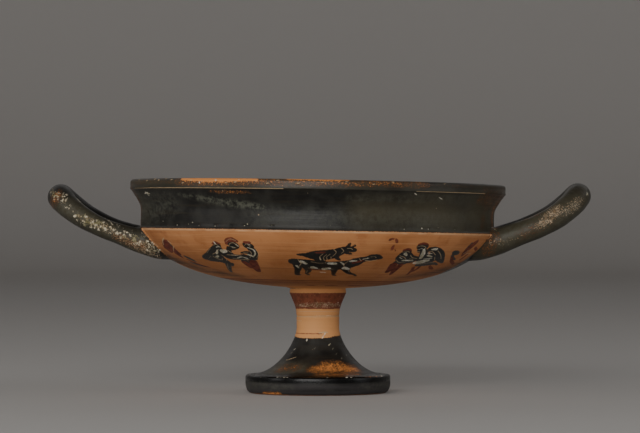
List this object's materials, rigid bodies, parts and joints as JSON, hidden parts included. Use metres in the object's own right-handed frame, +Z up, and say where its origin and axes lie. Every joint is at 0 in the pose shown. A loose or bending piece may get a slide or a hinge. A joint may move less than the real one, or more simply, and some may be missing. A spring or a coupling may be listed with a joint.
{
  "type": "kylix cup",
  "caption": "Wide shallow stemmed drinking cup of fired clay with an offset concave lip, a hollow trumpet foot and upturned loop handles.",
  "frame": {"origin": "centre of the foot's resting ring, on the surface that the cup stands on", "axes": "+Z up along the stem, +X towards the right-hand handle, -Y towards the front of the cup"},
  "size_m": [0.3047, 0.2106, 0.1195],
  "materials": {
    "painted_clay": "worn satin black slip over orange fired clay, with a painted figure band"
  },
  "bodies": {
    "root": {"kylix": "painted_clay"}
  },
  "joints": []
}
